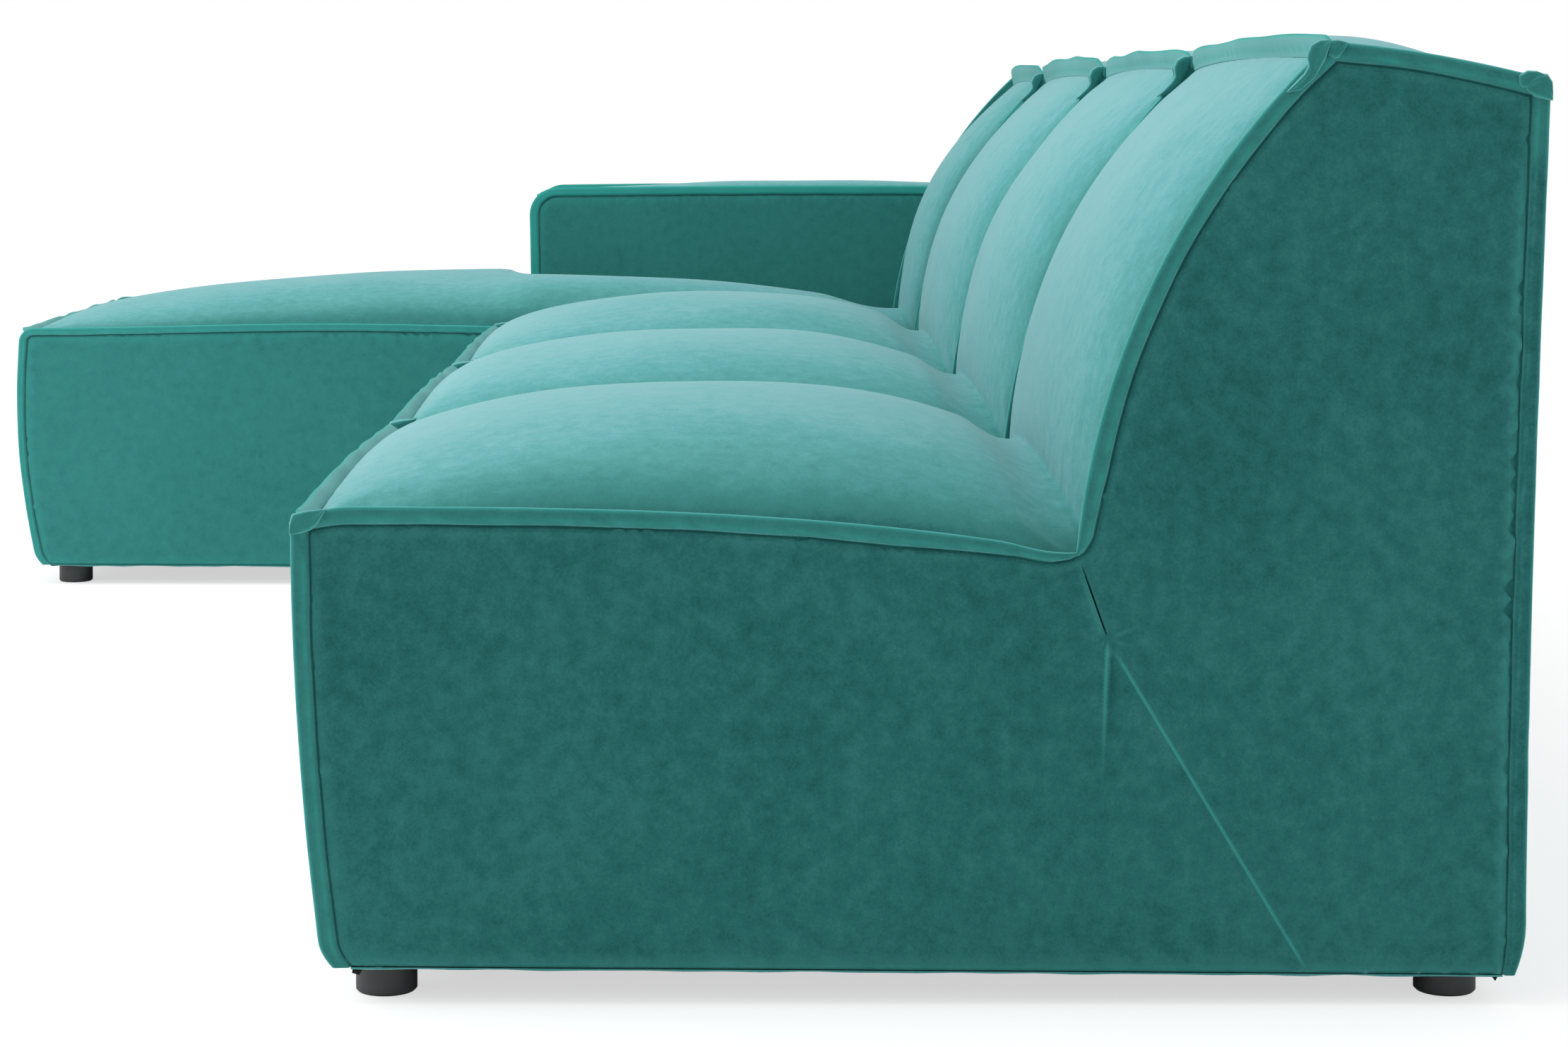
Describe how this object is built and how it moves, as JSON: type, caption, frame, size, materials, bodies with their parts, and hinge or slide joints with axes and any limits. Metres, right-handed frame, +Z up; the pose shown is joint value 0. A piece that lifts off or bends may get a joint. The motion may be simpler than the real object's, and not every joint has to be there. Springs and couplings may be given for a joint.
{
  "type": "modular lounge sofa with chaise",
  "caption": "Low modular velvet lounge sofa: armless units in a row and a chaise unit with a low end arm, crowned cushions, raised flanged seams and short round feet.",
  "frame": {"origin": "on the floor, at the centre of the bounding box of the whole sofa", "axes": "+X along the row from the chaise with the arm to the open end, +Y from the seats' fronts to the backs, +Z up"},
  "size_m": [3.198, 1.8018, 0.8226],
  "materials": {
    "velvet": "teal short-pile velvet",
    "foam": "open-cell upholstery foam",
    "wadding": "white fibre padding",
    "timber": "planed pine, unfinished",
    "webbing": "black elastic webbing",
    "feet_black": "black moulded plastic",
    "zinc": "zinc-plated steel",
    "dust_cloth": "black non-woven cloth"
  },
  "bodies": {
    "chaise": {"chaise_cover": "velvet", "chaise_seat_foam": "foam", "chaise_back_foam": "foam", "chaise_base_padding": "wadding", "chaise_back_padding": "wadding", "chaise_base_frame": "timber", "chaise_back_frame": "timber", "chaise_webbing": "webbing", "chaise_feet": "feet_black", "chaise_foot_bolts": "zinc", "chaise_dust_cloth": "dust_cloth", "chaise_pin_brackets": "zinc", "chaise_plate_screws": "zinc", "chaise_arm_cover": "velvet", "chaise_arm_foam": "foam", "chaise_arm_padding": "wadding", "chaise_arm_frame": "timber", "chaise_arm_straps": "zinc"},
    "unit_3": {"m3_cover": "velvet", "m3_seat_foam": "foam", "m3_back_foam": "foam", "m3_base_padding": "wadding", "m3_back_padding": "wadding", "m3_base_frame": "timber", "m3_back_frame": "timber", "m3_webbing": "webbing", "m3_feet": "feet_black", "m3_foot_bolts": "zinc", "m3_dust_cloth": "dust_cloth", "m3_eye_plates": "zinc", "m3_pin_brackets": "zinc", "m3_plate_screws": "zinc"},
    "unit_2": {"m2_cover": "velvet", "m2_seat_foam": "foam", "m2_back_foam": "foam", "m2_base_padding": "wadding", "m2_back_padding": "wadding", "m2_base_frame": "timber", "m2_back_frame": "timber", "m2_webbing": "webbing", "m2_feet": "feet_black", "m2_foot_bolts": "zinc", "m2_dust_cloth": "dust_cloth", "m2_eye_plates": "zinc", "m2_pin_brackets": "zinc", "m2_plate_screws": "zinc"},
    "unit_1": {"m1_cover": "velvet", "m1_seat_foam": "foam", "m1_back_foam": "foam", "m1_base_padding": "wadding", "m1_back_padding": "wadding", "m1_base_frame": "timber", "m1_back_frame": "timber", "m1_webbing": "webbing", "m1_feet": "feet_black", "m1_foot_bolts": "zinc", "m1_dust_cloth": "dust_cloth", "m1_eye_plates": "zinc", "m1_plate_screws": "zinc"}
  },
  "joints": [
    {"name": "unit_3_lift", "type": "slide", "parent": "chaise", "child": "unit_3", "axis": [0, 0, 1], "range_m": [0, 0.05]},
    {"name": "unit_2_lift", "type": "slide", "parent": "unit_3", "child": "unit_2", "axis": [0, 0, 1], "range_m": [0, 0.05]},
    {"name": "unit_1_lift", "type": "slide", "parent": "unit_2", "child": "unit_1", "axis": [0, 0, 1], "range_m": [0, 0.05]}
  ]
}
